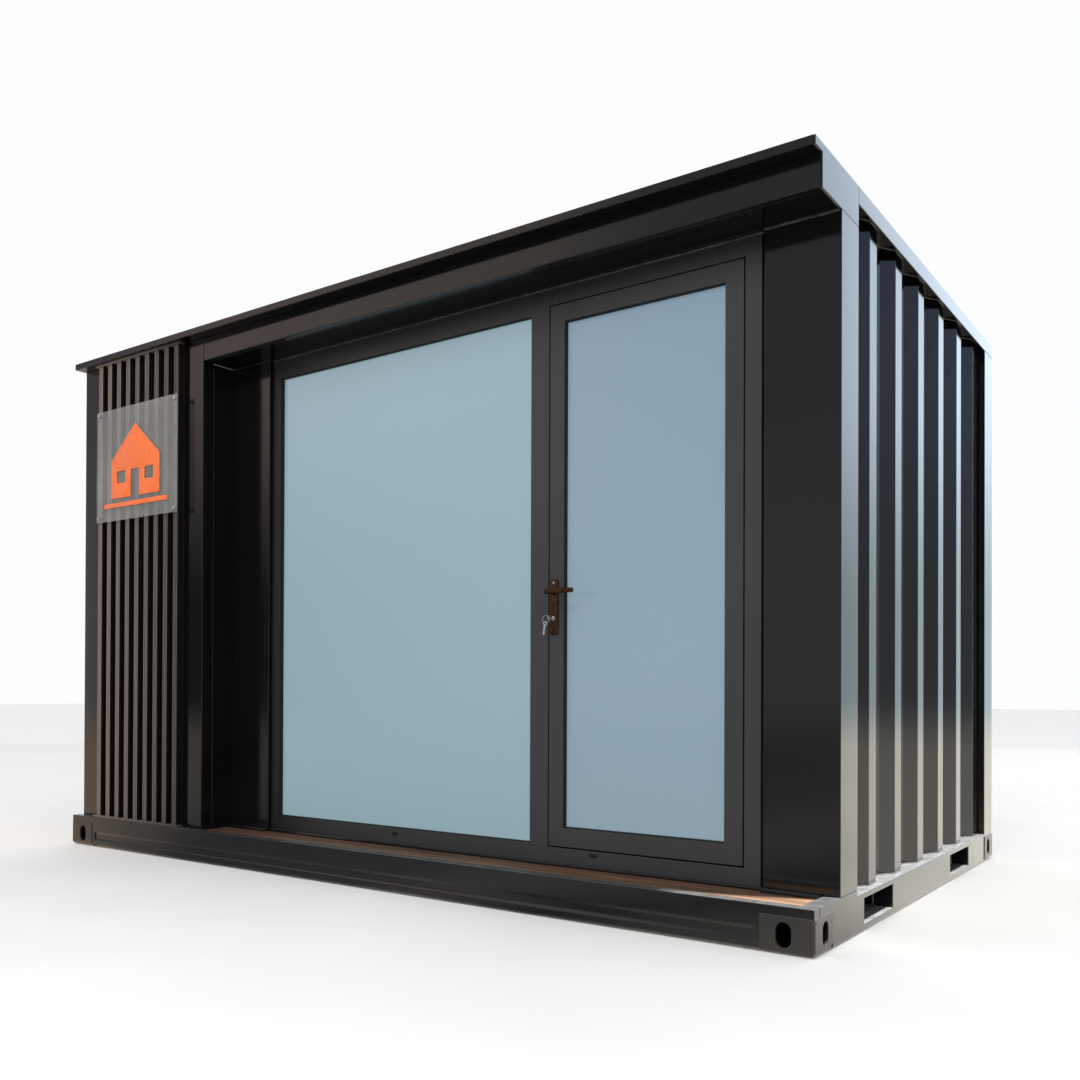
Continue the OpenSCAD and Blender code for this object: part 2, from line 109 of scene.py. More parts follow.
# ---------------------------------------------------------------------------------------
# Studio: a pale floor, a pale surround, one soft lamp in front, and a painted surround that
# only shows as a reflection in the paint and the glass.
bpy.context.scene.view_settings.view_transform = "Standard"
world = bpy.data.worlds.new("surround")
bpy.context.scene.world = world
world.use_nodes = True
world.node_tree.nodes["Background"].inputs["Color"].default_value = (0.98, 0.985, 0.99, 1.0)
world.node_tree.nodes["Background"].inputs["Strength"].default_value = 1.0


def shading(material):
    """A material's shader, a function that adds a node to it, and one that fills sockets."""
    tree = material.node_tree

    def add(kind, sockets=(), **settings):
        node = tree.nodes.new("ShaderNode" + kind)
        for setting, value in settings.items():
            setattr(node, setting, value)
        fill(node, sockets)
        return node

    def fill(node, sockets):
        for socket, value in dict(sockets).items():
            if isinstance(value, bpy.types.NodeSocket):
                tree.links.new(value, node.inputs[socket])
            else:
                node.inputs[socket].default_value = value

    return tree.nodes["Principled BSDF"], add, fill


def start_material(name):
    """A new material, with its shader and the two functions that build it."""
    material = bpy.data.materials.new(name)
    material.use_nodes = True
    return (material, *shading(material))


def ramp(add, factor, *stops):
    """A colour ramp from (place, colour) stops."""
    node = add("ValToRGB", {"Fac": factor})
    elements = node.color_ramp.elements
    while len(elements) < len(stops):
        elements.new(0.5)
    for element, (place, colour) in zip(elements, stops):
        element.position = place
        element.color = (*colour, 1.0)
    return node.outputs["Color"]


def mixed(add, factor, colour_a, colour_b):
    """One colour laid over another."""
    node = add("Mix", {0: factor, 6: colour_a, 7: colour_b}, data_type="RGBA")
    return node.outputs[2]


floor_material, shader, add, fill = start_material("studio_floor")
grain = add("TexNoise", {"Vector": add("TexCoord").outputs["Object"], "Scale": 1.5, "Detail": 4.0})
fill(shader, {"Base Color": ramp(add, grain.outputs["Fac"], (0.3, (0.84, 0.84, 0.84)),
                                 (0.7, (0.87, 0.87, 0.87))), "Roughness": 0.75})
bpy.ops.object.select_all(action="DESELECT")
bpy.ops.mesh.primitive_plane_add(size=90)
studio_floor = bpy.context.object
studio_floor.name = "studio_floor"
studio_floor.data.materials.append(floor_material)

# Reflected surround: bearing runs from 0 at -X through -Y (0.25), +X (0.5) and +Y (0.75).
drum_material, shader, add, fill = start_material("reflected_surround")
place = add("SeparateXYZ", {"Vector": add("TexCoord").outputs["Object"]}).outputs
bearing = add("Math", {0: place["Y"], 1: place["X"]}, operation="ARCTAN2")
turn = add("MapRange", {"Value": bearing.outputs["Value"], "From Min": -math.pi,
                        "From Max": math.pi}).outputs["Result"]
high_glow = ramp(add, turn, (0.0, (0.20, 0.20, 0.21)), (0.087, (0.11, 0.115, 0.13)),
                 (0.108, (0.32, 0.25, 0.23)), (0.139, (0.32, 0.27, 0.25)), (0.172, (0.28, 0.25, 0.23)),
                 (0.195, (0.140, 0.145, 0.155)), (0.39, (0.13, 0.14, 0.16)),
                 (0.539, (0.15, 0.19, 0.28)), (0.64, (0.38, 0.45, 0.54)),
                 (0.69, (0.72, 0.84, 0.98)), (0.73, (0.74, 0.86, 1.0)), (0.80, (0.38, 0.41, 0.44)),
                 (1.0, (0.20, 0.20, 0.21)))
level_glow = ramp(add, turn, (0.0, (0.20, 0.20, 0.20)), (0.087, (0.215, 0.22, 0.23)),
                  (0.099, (0.012, 0.012, 0.013)), (0.122, (0.020, 0.020, 0.020)),
                  (0.185, (0.190, 0.195, 0.200)), (0.40, (0.15, 0.155, 0.16)),
                  (0.539, (0.118, 0.132, 0.147)), (0.64, (0.23, 0.26, 0.28)),
                  (0.69, (0.36, 0.44, 0.47)), (0.73, (0.43, 0.52, 0.56)), (0.80, (0.25, 0.25, 0.25)),
                  (1.0, (0.20, 0.20, 0.20)))
ground_glow = ramp(add, turn, (0.0, (0.15, 0.14, 0.13)), (0.087, (0.36, 0.27, 0.20)),
                   (0.105, (0.19, 0.17, 0.15)), (0.13, (0.075, 0.070, 0.072)),
                   (0.25, (0.11, 0.108, 0.105)), (0.29, (0.19, 0.18, 0.17)),
                   (0.325, (0.13, 0.13, 0.13)), (0.355, (0.04, 0.04, 0.045)),
                   (0.405, (0.25, 0.235, 0.21)), (0.435, (0.36, 0.345, 0.31)),
                   (0.49, (0.57, 0.545, 0.48)), (0.55, (0.52, 0.505, 0.45)),
                   (0.62, (0.60, 0.58, 0.51)), (0.73, (0.56, 0.54, 0.475)),
                   (0.80, (0.25, 0.24, 0.22)), (1.0, (0.15, 0.14, 0.13)))
low_part = add("MapRange", {"Value": place["Z"], "From Min": 0.05, "From Max": 0.6})
high_part = add("MapRange", {"Value": place["Z"], "From Min": 1.8, "From Max": 5.5},
                interpolation_type="SMOOTHSTEP")
below = mixed(add, low_part.outputs["Result"], ground_glow, level_glow)
glow = add("Emission", {"Color": mixed(add, high_part.outputs["Result"], below, high_glow),
                        "Strength": 3.4})
drum_tree = drum_material.node_tree
drum_tree.links.new(glow.outputs["Emission"], drum_tree.nodes["Material Output"].inputs["Surface"])
bpy.ops.mesh.primitive_cylinder_add(vertices=96, radius=12.0, depth=12.0, end_fill_type="TRIFAN",
                                    location=(0.0, 0.0, 6.002))
drum = bpy.context.object
drum.name = "reflected_surround"
bpy.ops.object.transform_apply(location=True)
drum.data.materials.append(drum_material)
drum.visible_camera = False
drum.visible_diffuse = False
drum.visible_shadow = False
drum.visible_transmission = False
drum.visible_volume_scatter = False
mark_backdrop(studio_floor, drum)

lamp_data = bpy.data.lights.new("soft_lamp", "AREA")
lamp_data.shape = "DISK"
lamp_data.size = 4.0
lamp_data.energy = 300.0
lamp_data.color = (1.0, 0.96, 0.91)
lamp = bpy.data.objects.new("soft_lamp", lamp_data)
bpy.context.scene.collection.objects.link(lamp)
lamp.location = (2.5, -7.0, 6.0)
lamp.rotation_euler = (Vector((0.0, 0.0, 1.0)) - lamp.location).to_track_quat("-Z", "Y").to_euler()
lamp.visible_camera = False
lamp.visible_glossy = False

# A high lamp behind the right end, kept off the studio floor, that picks out the ledges and
# reaches the corner of the deck past the post.
high_data = bpy.data.lights.new("high_lamp", "SUN")
high_data.energy = 20.0
high_data.angle = math.radians(2.5)
high_data.color = (1.0, 0.96, 0.90)
high_lamp = bpy.data.objects.new("high_lamp", high_data)
bpy.context.scene.collection.objects.link(high_lamp)
high_lamp.rotation_euler = Vector((0.94, 0.35, 4.1)).to_track_quat("Z", "Y").to_euler()
unlit = bpy.data.collections.new("not_under_high_lamp")
unlit.objects.link(studio_floor)
unlit.collection_objects[0].light_linking.link_state = "EXCLUDE"
high_lamp.light_linking.receiver_collection = unlit

# ---------------------------------------------------------------------------------------
# Painted steelwork: posts, top rails, beams, roof, canopy and flat panels, folded from
# plate and welded. Gloss charcoal paint over all of it, with a little dust on what lies
# flat and near the ground. On low flat ledges the pale blue-grey is partly dust and partly a
# painted sky reflection, weaker at the front as painted shade under the canopy.


def object_coords(add):
    """Coordinates that stay with the piece."""
    return add("TexCoord").outputs["Object"]


def object_axes(add):
    """Object coordinates, and their X, Y and Z apart."""
    coords = object_coords(add)
    return coords, add("SeparateXYZ", {"Vector": coords}).outputs


def paint(name, dark, light, roughness, specular, dust_and_sky_sheen):
    """Paint on steel: slow drift of tone, orange peel, slight waves of the plate, and a pale dusting
    that on low ledges is also a painted sky reflection.
    """
    material, shader, add, fill = start_material(name)
    coords, axes = object_axes(add)
    drift = add("TexNoise", {"Vector": coords, "Scale": 0.9, "Detail": 5.0, "Roughness": 0.6})
    tone = ramp(add, drift.outputs["Fac"], (0.3, dark), (0.7, light))
    specks = add("TexNoise", {"Vector": coords, "Scale": 23.0, "Detail": 8.0, "Roughness": 0.7})
    near_ground = add("MapRange", {"Value": axes["Z"], "From Min": 0.0, "From Max": 0.5,
                                   "To Min": 0.012, "To Max": 0.0})
    # Low flat ledges get a pale blue-grey that is partly dust and partly a painted sky reflection.
    low = add("MapRange", {"Value": axes["Z"], "From Min": 0.3, "From Max": 0.6,
                           "To Min": 1.0, "To Max": 0.06})
    up = add("SeparateXYZ", {"Vector": add("NewGeometry").outputs["Normal"]}).outputs["Z"]
    lying = add("MapRange", {"Value": up, "From Min": 0.6, "From Max": 1.0,
                             "To Min": 0.0, "To Max": dust_and_sky_sheen})
    # Painted shade: the ledge colour is weaker towards the front, where the canopy shades the front
    # ledge.
    behind = add("MapRange", {"Value": axes["Y"], "From Min": -0.95, "From Max": -0.75,
                              "To Min": 0.40, "To Max": 1.0})
    ledge = add("Math", {0: low.outputs["Result"], 1: behind.outputs["Result"]},
                operation="MULTIPLY")
    settled_dust_and_sheen = add("Math", {0: ledge.outputs["Value"], 1: lying.outputs["Result"]},
                  operation="MULTIPLY")
    both = add("Math", {0: near_ground.outputs["Result"], 1: settled_dust_and_sheen.outputs["Value"]})
    patchy = add("Math", {0: both.outputs["Value"], 1: specks.outputs["Fac"]}, operation="MULTIPLY")
    rough = add("MapRange", {"Value": specks.outputs["Fac"], "From Min": 0.3, "From Max": 0.7,
                             "To Min": roughness[0], "To Max": roughness[1]})
    waves = add("TexNoise", {"Vector": coords, "Scale": 2.1, "Detail": 1.0})
    wavy = add("Bump", {"Height": waves.outputs["Fac"], "Strength": 0.25, "Distance": 0.006})
    peel = add("TexNoise", {"Vector": coords, "Scale": 320.0, "Detail": 2.0})
    peeled = add("Bump", {"Height": peel.outputs["Fac"], "Strength": 0.12, "Distance": 0.0006,
                          "Normal": wavy.outputs["Normal"]})
    # The pale blue-grey (0.34, 0.35, 0.36) is dust and, on the ledges, a painted sky reflection.
    fill(shader, {"Base Color": mixed(add, patchy.outputs["Value"], tone, (0.34, 0.35, 0.36, 1.0)),
                  "Roughness": rough.outputs["Result"], "Specular IOR Level": specular,
                  "Normal": peeled.outputs["Normal"]})
    return material


def dress(names, material, edge):
    """Rounds a CAD node's edges as folded or cast, and paints it."""
    for name in names:
        node = nodes[name]
        node.data.materials.clear()
        node.data.materials.append(material)
        weld = node.modifiers.new("joined", "WELD")
        weld.merge_threshold = 0.0001
        flatten = node.modifiers.new("flat_faces", "DECIMATE")
        flatten.decimate_type = "DISSOLVE"
        flatten.angle_limit = math.radians(1)
        bevel = node.modifiers.new("rounded_edges", "BEVEL")
        bevel.width = edge
        bevel.segments = 3
        bevel.angle_limit = math.radians(20)
        node.modifiers.new("even_faces", "WEIGHTED_NORMAL")


gloss_paint = paint("gloss_charcoal_paint", (0.0022, 0.0023, 0.0026), (0.0036, 0.0035, 0.0035),
                    (0.07, 0.12), 0.45, 0.30)
dress(["front_left_post", "front_right_post", "rear_posts", "end_top_rails", "rear_top_rail",
       "header_beam", "roof_panel", "canopy_end_plate", "fascia_beam", "soffit_panel",
       "bay_front_wall", "bay_return_wall", "left_flat_panel"], gloss_paint, 0.003)

# ---------------------------------------------------------------------------------------
# Base frame: cast corner fittings, the rails between them, the fork tunnels and the floor
# bearers. The same charcoal, thicker and duller, with road dust on it; the pale blue-grey
# on the rails' ledges is dust and a painted sky reflection.
base_paint = paint("base_frame_paint", (0.0036, 0.0036, 0.0040), (0.0058, 0.0056, 0.0056),
                   (0.12, 0.19), 0.45, 0.80)
cast_paint = paint("cast_fitting_paint", (0.0150, 0.0135, 0.0122), (0.0220, 0.0195, 0.0172),
                   (0.32, 0.45), 0.45, 0.35)
dress(["front_bottom_rail", "rear_bottom_rail", "left_bottom_rail", "right_bottom_rail",
       "fork_tunnels", "cross_members"], base_paint, 0.004)


def darken_hollow(material, low, high, rim):
    """Blacks out a fitting's hollow, which gets no light, from the rim of its slots inwards."""
    shader, add, fill = shading(material)
    coords, axes = object_axes(add)
    above = add("MapRange", {"Value": axes["Z"], "From Min": low, "From Max": low + rim})
    inside = above.outputs["Result"]
    for axis, edge in zip("XYZ", high):
        outward = add("Math", {0: axes[axis]}, operation="ABSOLUTE")
        inward = add("MapRange", {"Value": outward.outputs["Value"], "From Min": edge,
                                  "From Max": edge - rim})
        inside = add("Math", {0: inside, 1: inward.outputs["Result"]},
                     operation="MULTIPLY").outputs["Value"]
    paint_colour = shader.inputs["Base Color"].links[0].from_socket
    dull = add("MapRange", {"Value": inside, "To Max": 0.0,
                            "To Min": shader.inputs["Specular IOR Level"].default_value})
    fill(shader, {"Base Color": mixed(add, inside, paint_colour, (0.001, 0.001, 0.001, 1.0)),
                  "Specular IOR Level": dull.outputs["Result"]})


cast_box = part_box("casting_rear_right")
casting_wall = 0.014
darken_hollow(cast_paint, cast_box[0].z, cast_box[1], casting_wall)
castings = ["casting_front_left", "casting_front_right", "casting_rear_left", "casting_rear_right"]
dress(castings, cast_paint, 0.003)

# ---------------------------------------------------------------------------------------
# Weld beads round the fittings: a row of small overlapping ripples where the rails land
# on a fitting's top edge and butt against its sides, painted over.


def block(name, low, high):
    """A cube from corner to corner whose object stays at the origin."""
    bpy.ops.object.select_all(action="DESELECT")
    bpy.ops.mesh.primitive_cube_add(size=1.0, location=[(a + b) / 2 for a, b in zip(low, high)])
    bpy.context.object.name = name
    bpy.context.object.scale = [b - a for a, b in zip(low, high)]
    bpy.ops.object.transform_apply(location=True, rotation=True, scale=True)
    return bpy.context.object


def only(piece):
    """Selects just this piece and makes it the active one."""
    bpy.ops.object.select_all(action="DESELECT")
    piece.select_set(True)
    bpy.context.view_layer.objects.active = piece


def apply(piece, kind, **settings):
    """Adds a modifier to a piece and applies it."""
    only(piece)
    modifier = piece.modifiers.new(kind.lower(), kind)
    for setting, value in settings.items():
        setattr(modifier, setting, value)
    bpy.ops.object.modifier_apply(modifier=modifier.name)


def soften(piece, width, segments=2):
    """Rounds a piece's edges and shades the curves smooth."""
    apply(piece, "BEVEL", width=width, segments=segments, limit_method="ANGLE",
          angle_limit=math.radians(30))
    bpy.ops.object.shade_smooth_by_angle(angle=math.radians(38))


def join(name, pieces):
    """Joins pieces into one, with this name."""
    only(pieces[0])
    for piece in pieces:
        piece.select_set(True)
    if len(pieces) > 1:
        bpy.ops.object.join()
    bpy.context.object.name = name
    return bpy.context.object


def fit(piece, body, slot, material, *replaced):
    """Gives a finished piece its material and its body, and hides the parts it stands for. The slot is
    not used.
    """
    piece.data.materials.clear()
    piece.data.materials.append(material)
    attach(piece, body)
    if replaced:
        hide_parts(*replaced)
    return piece


def weld_bead(start, end, radius, ripple=0.008):
    """A straight bead of round ripples from start to end."""
    start, end = Vector(start), Vector(end)
    along = end - start
    count = max(2, round(along.length / ripple))
    bpy.ops.object.select_all(action="DESELECT")
    bpy.ops.mesh.primitive_uv_sphere_add(segments=8, ring_count=6, radius=radius)
    bead = bpy.context.object
    bead.scale = (1.0, 1.0, 0.9 * ripple / radius)
    bpy.ops.object.transform_apply(scale=True)
    apply(bead, "ARRAY", count=count, use_relative_offset=False, use_constant_offset=True,
          constant_offset_displace=(0.0, 0.0, along.length / count))
    bead.rotation_euler = along.to_track_quat("Z", "Y").to_euler()
    bead.location = start + along / count / 2
    bpy.ops.object.transform_apply(location=True, rotation=True, scale=True)
    bpy.ops.object.shade_smooth()
    return bead


bead_r, bead_clear = 0.003, 0.010
beads = []
for name in castings:
    low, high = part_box(name)
    side = 1 if high.x > 1 else -1
    front = low.y < 0
    x_out = side * (high.x if side > 0 else -low.x)
    x_face = x_out - side * bead_r
    x_in = low.x if side > 0 else high.x
    y_in = high.y if front else low.y
    y_face = low.y + bead_r if front else high.y - bead_r
    z_top = high.z
    beads.append(weld_bead((x_in, y_face, 0.014), (x_in, y_face, z_top), bead_r))
    beads.append(weld_bead((x_face, y_in, bead_clear), (x_face, y_in, z_top), bead_r))
    y_corner = y_face + (0.012 if front else -0.012)
    beads.append(weld_bead((x_face, y_in, z_top), (x_face, y_corner, z_top), bead_r))
    x_corner = x_face - side * bead_clear
    beads.append(weld_bead((x_in, y_face, z_top), (x_corner, y_face, z_top), bead_r))
fit(join("fitting_welds", beads), "cabin", "steel", cast_paint)

# ---------------------------------------------------------------------------------------
# Corrugated walls: sheet pressed into deep ribs, bent with soft corners and welded all
# round. The welds follow the ribs under the top rail and on the bottom rail.
walls = ["left_corrugated_wall", "right_corrugated_wall", "rear_corrugated_wall"]
dress(walls, gloss_paint, 0.0035)


rib_bead_r = 0.004


def rib_weld(name, wall, axis, lines, at_top):
    """A bead along a sheet's outer edge, taken from the sheet's own outline."""
    sheet = nodes[wall].copy()
    sheet.data = nodes[wall].data.copy()
    sheet.parent = None
    sheet.name = name
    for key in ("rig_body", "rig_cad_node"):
        del sheet[key]
    sheet.modifiers.clear()
    bpy.context.scene.collection.objects.link(sheet)
    level = max(v.co.z for v in sheet.data.vertices) if at_top else min(
        v.co.z for v in sheet.data.vertices)
    only(sheet)
    bpy.ops.object.mode_set(mode="EDIT")
    bpy.ops.mesh.select_all(action="SELECT")
    bpy.ops.mesh.remove_doubles(threshold=0.0001)
    bpy.ops.mesh.select_all(action="DESELECT")
    bpy.ops.object.mode_set(mode="OBJECT")
    kept = [abs(v.co.z - level) < 0.001 and min(abs(abs(v.co[axis]) - line) for line in lines) < 0.001
            for v in sheet.data.vertices]
    for vertex, keep in zip(sheet.data.vertices, kept):
        vertex.select = not keep
    bpy.context.tool_settings.mesh_select_mode = (True, False, False)
    bpy.ops.object.mode_set(mode="EDIT")
    bpy.ops.mesh.delete(type="VERT")
    bpy.ops.mesh.select_all(action="SELECT")
    bpy.ops.mesh.delete(type="ONLY_FACE")
    bpy.ops.mesh.select_all(action="SELECT")
    bpy.ops.mesh.subdivide(number_cuts=5)
    bpy.ops.object.mode_set(mode="OBJECT")
    bpy.ops.object.convert(target="CURVE")
    sheet.data.bevel_depth = rib_bead_r
    sheet.data.bevel_resolution = 1
    bpy.ops.object.convert(target="MESH")
    rough = bpy.data.textures.new(name, "CLOUDS")
    rough.noise_scale = 0.02
    apply(sheet, "DISPLACE", texture=rough, strength=0.004, mid_level=0.6)
    bpy.ops.object.shade_smooth()
    return sheet


end_lines = (1.928, 1.968)
rear_lines = (1.128, 1.168)
rib_welds = []
for wall, axis, lines in zip(walls, (0, 0, 1), (end_lines, end_lines, rear_lines)):
    for at_top in (True, False):
        rib_welds.append(rib_weld(wall + "_weld", wall, axis, lines, at_top))
fit(join("wall_welds", rib_welds), "cabin", "steel", cast_paint)

# ---------------------------------------------------------------------------------------
# Canopy trim: a drip strip along the fascia's lower edge, and the irregular bead of
# sealant that closes the joint between the soffit and the front wall.
fascia_low, fascia_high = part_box("fascia_beam")
drip_t, drip_h, drip_lap = 0.004, 0.006, 0.001
drip = block("fascia_drip_strip", (fascia_low.x, fascia_low.y - drip_t, fascia_low.z),
             (fascia_high.x, fascia_low.y + drip_lap, fascia_low.z + drip_h))
soften(drip, 0.0015)
fit(drip, "cabin", "steel", gloss_paint)


def sealant_line(start, end, radius, seed):
    """A soft uneven cord of sealant from start to end, along X."""
    bpy.ops.object.select_all(action="DESELECT")
    bpy.ops.mesh.primitive_cylinder_add(vertices=10, radius=radius, depth=end[0] - start[0],
                                        rotation=(0.0, math.pi / 2, 0.0),
                                        location=(Vector(start) + Vector(end)) / 2)
    cord = bpy.context.object
    bpy.ops.object.transform_apply(location=True, rotation=True, scale=True)
    cut_spacing = 0.02
    lengths = round((end[0] - start[0]) / cut_spacing)
    for i in range(1, lengths):
        bpy.ops.object.mode_set(mode="EDIT")
        bpy.ops.mesh.select_all(action="SELECT")
        at = start[0] + (end[0] - start[0]) * i / lengths
        bpy.ops.mesh.bisect(plane_co=(at, 0.0, 0.0), plane_no=(1.0, 0.0, 0.0))
        bpy.ops.object.mode_set(mode="OBJECT")
    lumps = bpy.data.textures.new("sealant_lumps_%d" % seed, "CLOUDS")
    lumps.noise_scale = 0.03
    apply(cord, "DISPLACE", texture=lumps, strength=0.009, mid_level=0.62)
    bpy.ops.object.shade_smooth()
    return cord


sealant, shader, add, fill = start_material("dark_sealant")
coords = object_coords(add)
skin = add("TexNoise", {"Vector": coords, "Scale": 60.0, "Detail": 4.0})
fill(shader, {"Base Color": ramp(add, skin.outputs["Fac"], (0.35, (0.014, 0.011, 0.009)),
                                 (0.65, (0.050, 0.043, 0.037))),
              "Roughness": 0.5,
              "Normal": add("Bump", {"Height": skin.outputs["Fac"], "Strength": 0.3,
                                     "Distance": 0.001}).outputs["Normal"]})
panel_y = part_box("left_flat_panel")[0].y
frame_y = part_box("frame_sill")[0].y
soffit_z = fascia_low.z
panel_x0, panel_x1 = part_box("left_flat_panel")[0].x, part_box("left_flat_panel")[1].x
post_x0, post_x1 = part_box("front_right_post")[0].x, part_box("front_right_post")[1].x
cords = [sealant_line((panel_x0, panel_y, soffit_z), (panel_x1, panel_y, soffit_z), 0.003, 1),
         sealant_line((panel_x1, frame_y, soffit_z), (post_x0, frame_y, soffit_z), 0.006, 2),
         sealant_line((post_x0, panel_y, soffit_z), (post_x1 - 0.006, panel_y, soffit_z), 0.007, 3)]
fit(join("soffit_sealant", cords), "cabin", "steel", sealant)

# ---------------------------------------------------------------------------------------
# Floors: the porch deck and the room's floor are film-faced plywood sheets with wood
# grain along the cabin, laid between the rails' flanges.


def wood(name, dark, light, stretch, roughness):
    """Wood grain that runs along X."""
    material, shader, add, fill = start_material(name)
    coords = object_coords(add)
    squeezed = add("Mapping", {"Vector": coords, "Scale": (1.0 / stretch, 1.0, 1.0)})
    warp = add("TexNoise", {"Vector": squeezed.outputs["Vector"], "Scale": 9.0, "Detail": 3.0})
    figure = add("TexWave", {"Vector": squeezed.outputs["Vector"], "Scale": 5.0, "Distortion": 9.0,
                             "Detail": 4.0, "Detail Scale": 2.0}, bands_direction="Y")
    fibres = add("Mapping", {"Vector": coords, "Scale": (3.0, 160.0, 40.0)})
    fine = add("TexNoise", {"Vector": fibres.outputs["Vector"], "Scale": 1.0, "Detail": 5.0})
    blend = add("Mix", {0: 0.45, 2: figure.outputs["Fac"], 3: fine.outputs["Fac"]}, data_type="FLOAT")
    again = add("Mix", {0: 0.35, 2: blend.outputs[0], 3: warp.outputs["Fac"]}, data_type="FLOAT")
    relief = add("Bump", {"Height": fine.outputs["Fac"], "Strength": 0.25, "Distance": 0.001})
    fill(shader, {"Base Color": ramp(add, again.outputs[0], (0.25, dark), (0.75, light)),
                  "Roughness": roughness, "Normal": relief.outputs["Normal"]})
    return material


dress(["porch_deck"], wood("deck_plywood", (0.054, 0.028, 0.016), (0.160, 0.086, 0.048), 7.0, 0.55),
      0.0015)
dress(["floor_panel"], wood("floor_plywood", (0.30, 0.215, 0.135), (0.46, 0.34, 0.22), 6.0, 0.5),
      0.0015)

# ---------------------------------------------------------------------------------------
# Inside boards: wall board and ceiling board screwed to the studs, filled, and painted
# white with a roller that leaves a faint texture.
board, shader, add, fill = start_material("white_wall_board")
coords = object_coords(add)
roller = add("TexNoise", {"Vector": coords, "Scale": 180.0, "Detail": 3.0})
tint = add("TexNoise", {"Vector": coords, "Scale": 1.2, "Detail": 2.0})
fill(shader, {"Base Color": ramp(add, tint.outputs["Fac"], (0.3, (0.68, 0.67, 0.64)),
                                 (0.7, (0.73, 0.72, 0.69))),
              "Roughness": 0.6,
              "Normal": add("Bump", {"Height": roller.outputs["Fac"], "Strength": 0.15,
                                     "Distance": 0.0008}).outputs["Normal"]})
dress(["left_wall_lining", "right_wall_lining", "rear_wall_lining", "ceiling_panel"], board, 0.001)

# ---------------------------------------------------------------------------------------
# Slatted cladding on the bay: nine grooved slats of brown-grey wood composite on a dark
# backing sheet, held top and bottom by a thin trim. The slats darken towards the right end
# of the bay as painted shade, and their sides, groove walls and the backing are near-black
# as painted shade in the gaps.
slat_material, shader, add, fill = start_material("brown_grey_composite")
coords, axes = object_axes(add)
streaks = add("Mapping", {"Vector": coords, "Scale": (90.0, 40.0, 1.6)})
fibre = add("TexNoise", {"Vector": streaks.outputs["Vector"], "Scale": 1.0, "Detail": 6.0})
patches = add("TexNoise", {"Vector": coords, "Scale": 2.5, "Detail": 3.0})
streaky = ramp(add, fibre.outputs["Fac"], (0.25, (0.135, 0.102, 0.084)), (0.75, (0.230, 0.182, 0.155)))
# Painted shade: the slats go towards near-black (0.030, 0.026, 0.023) towards the right end of the
# bay.
slat_painted_shade = add("MapRange", {"Value": axes["X"], "From Min": -1.8, "From Max": -1.1,
                         "To Min": 0.0, "To Max": 0.85})
faded = mixed(add, patches.outputs["Fac"], streaky, (0.180, 0.143, 0.122, 1.0))
fill(shader, {"Base Color": mixed(add, slat_painted_shade.outputs["Result"], faded, (0.030, 0.026, 0.023, 1.0)),
              "Roughness": 0.5, "Specular IOR Level": 0.35,
              "Normal": add("Bump", {"Height": fibre.outputs["Fac"], "Strength": 0.3,
                                     "Distance": 0.0008}).outputs["Normal"]})


def cut_across(piece, places, axis):
    """Cuts a piece's faces along planes square to an axis."""
    normal = [0.0, 0.0, 0.0]
    normal[axis] = 1.0
    only(piece)
    for place in places:
        bpy.ops.object.mode_set(mode="EDIT")
        bpy.ops.mesh.select_all(action="SELECT")
        bpy.ops.mesh.bisect(plane_co=[place * part for part in normal], plane_no=normal)
        bpy.ops.object.mode_set(mode="OBJECT")


def pick_faces(piece, test):
    """Goes into edit mode with only the faces selected whose centre and normal pass."""
    only(piece)
    bpy.context.tool_settings.mesh_select_mode = (False, False, True)
    bpy.ops.object.mode_set(mode="EDIT")
    bpy.ops.mesh.select_all(action="DESELECT")
    bpy.ops.object.mode_set(mode="OBJECT")
    for face in piece.data.polygons:
        face.select = test(face.center, face.normal)
    bpy.ops.object.mode_set(mode="EDIT")


slats_low, slats_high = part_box("bay_slats")
backing_t, trim_h = 0.006, 0.008
slat_w, slat_pitch, slat_count = 0.032, 0.0783, 9
slat_margin, slat_inset, slat_gap = 0.030, 0.004, 0.002
groove_depth = 0.0035
slat_x = slats_low.x + slat_margin
slat_y0, slat_y1 = slats_low.y + slat_inset, slats_high.y - backing_t
slat_z0, slat_z1 = slats_low.z + slat_gap, slats_high.z - slat_gap
slat = block("slat", (slat_x, slat_y0, slat_z0), (slat_x + slat_w, slat_y1, slat_z1))
grooves = [(0.0085, 0.0115), (0.0205, 0.0235)]
cut_across(slat, [slat_x + edge for groove in grooves for edge in groove], 0)
pick_faces(slat, lambda centre, normal: normal.y < -0.9 and any(
    slat_x + a < centre.x < slat_x + b for a, b in grooves))
bpy.ops.mesh.extrude_region_move(TRANSFORM_OT_translate={"value": (0.0, groove_depth, 0.0)})
bpy.ops.object.mode_set(mode="OBJECT")
soften(slat, 0.001)
apply(slat, "ARRAY", count=slat_count, use_relative_offset=False, use_constant_offset=True,
      constant_offset_displace=(slat_pitch, 0.0, 0.0))
trims = []
for z in (slats_low.z, slats_high.z - trim_h):
    trim = block("slat_trim", (slats_low.x, slats_low.y, z),
                 (slats_high.x, slats_high.y - backing_t, z + trim_h))
    soften(trim, 0.0015)
    trims.append(trim)
fit(join("slat_trims", trims), "cabin", "slats", slat_material)
# The backing sheet is dark, and it is darkened to near-black as painted shade in the gaps between the
# slats.
backing_and_slat_shade, shader, add, fill = start_material("dark_backing_and_painted_slat_shade")
coords = object_coords(add)
felt = add("TexNoise", {"Vector": coords, "Scale": 40.0, "Detail": 5.0})
fill(shader, {"Base Color": ramp(add, felt.outputs["Fac"], (0.3, (0.0030, 0.0022, 0.0018)),
                                 (0.7, (0.0065, 0.0048, 0.0038))), "Roughness": 0.8,
              "Specular IOR Level": 0.2})
